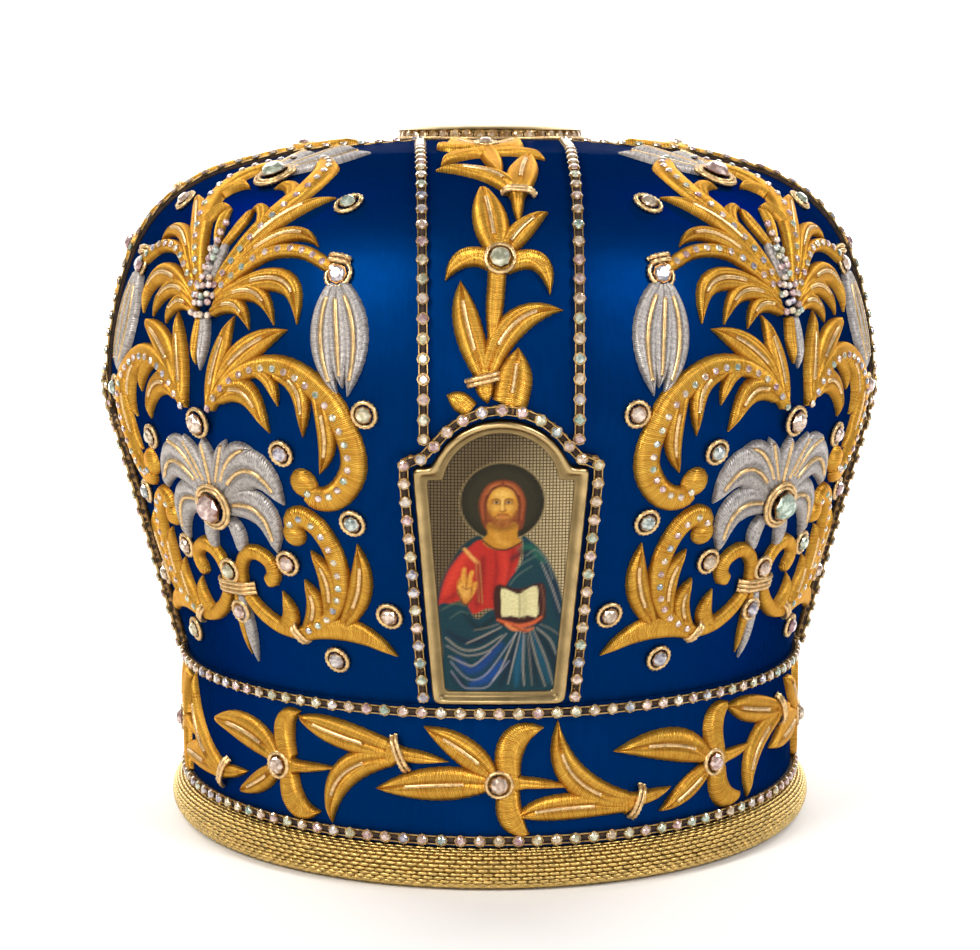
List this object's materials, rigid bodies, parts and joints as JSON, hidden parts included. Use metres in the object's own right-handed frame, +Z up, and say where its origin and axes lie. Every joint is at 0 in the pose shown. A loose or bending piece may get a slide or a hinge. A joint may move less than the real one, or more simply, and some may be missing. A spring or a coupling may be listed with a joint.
{
  "type": "bishop mitre",
  "caption": "Domed satin mitre with relief embroidery, cup chains, framed icon plates and a round medallion on top, hollow and open below.",
  "frame": {"origin": "centre of the flat ring that the hat stands on", "axes": "+Z up, -Y towards the front icon plate, +X to the right in the picture"},
  "size_m": [0.2412, 0.2412, 0.2113],
  "materials": {
    "blue_satin": "satin",
    "gold_embroidery": "metallic gold and silver thread",
    "mesh_trim": "woven mesh, satin",
    "cup_chain": "cut stones in brass cups",
    "antique_brass": "antique, satin",
    "icon_print": "satin print",
    "polished_brass": "polished"
  },
  "bodies": {
    "root": {"crown_shell": "blue_satin", "head_band": "blue_satin", "base_trim": "mesh_trim", "band_chain_upper": "cup_chain", "band_chain_lower": "cup_chain", "top_chain": "cup_chain", "top_frame": "antique_brass", "top_plate": "polished_brass", "icon_frame_front": "antique_brass", "icon_plate_front": "icon_print", "icon_chain_front": "cup_chain", "column_chain_front_1": "cup_chain", "column_chain_front_2": "cup_chain", "column_spray_front": "gold_embroidery", "icon_frame_right": "antique_brass", "icon_plate_right": "icon_print", "icon_chain_right": "cup_chain", "column_chain_right_1": "cup_chain", "column_chain_right_2": "cup_chain", "column_spray_right": "gold_embroidery", "icon_frame_back": "antique_brass", "icon_plate_back": "icon_print", "icon_chain_back": "cup_chain", "column_chain_back_1": "cup_chain", "column_chain_back_2": "cup_chain", "column_spray_back": "gold_embroidery", "icon_frame_left": "antique_brass", "icon_plate_left": "icon_print", "icon_chain_left": "cup_chain", "column_chain_left_1": "cup_chain", "column_chain_left_2": "cup_chain", "column_spray_left": "gold_embroidery", "panel_embroidery_1": "gold_embroidery", "panel_embroidery_2": "gold_embroidery", "panel_embroidery_3": "gold_embroidery", "panel_embroidery_4": "gold_embroidery", "band_spray_1": "gold_embroidery", "band_spray_2": "gold_embroidery", "band_spray_3": "gold_embroidery", "band_spray_4": "gold_embroidery", "band_spray_5": "gold_embroidery", "band_spray_6": "gold_embroidery", "band_spray_7": "gold_embroidery", "band_spray_8": "gold_embroidery", "band_spray_9": "gold_embroidery"}
  },
  "joints": []
}
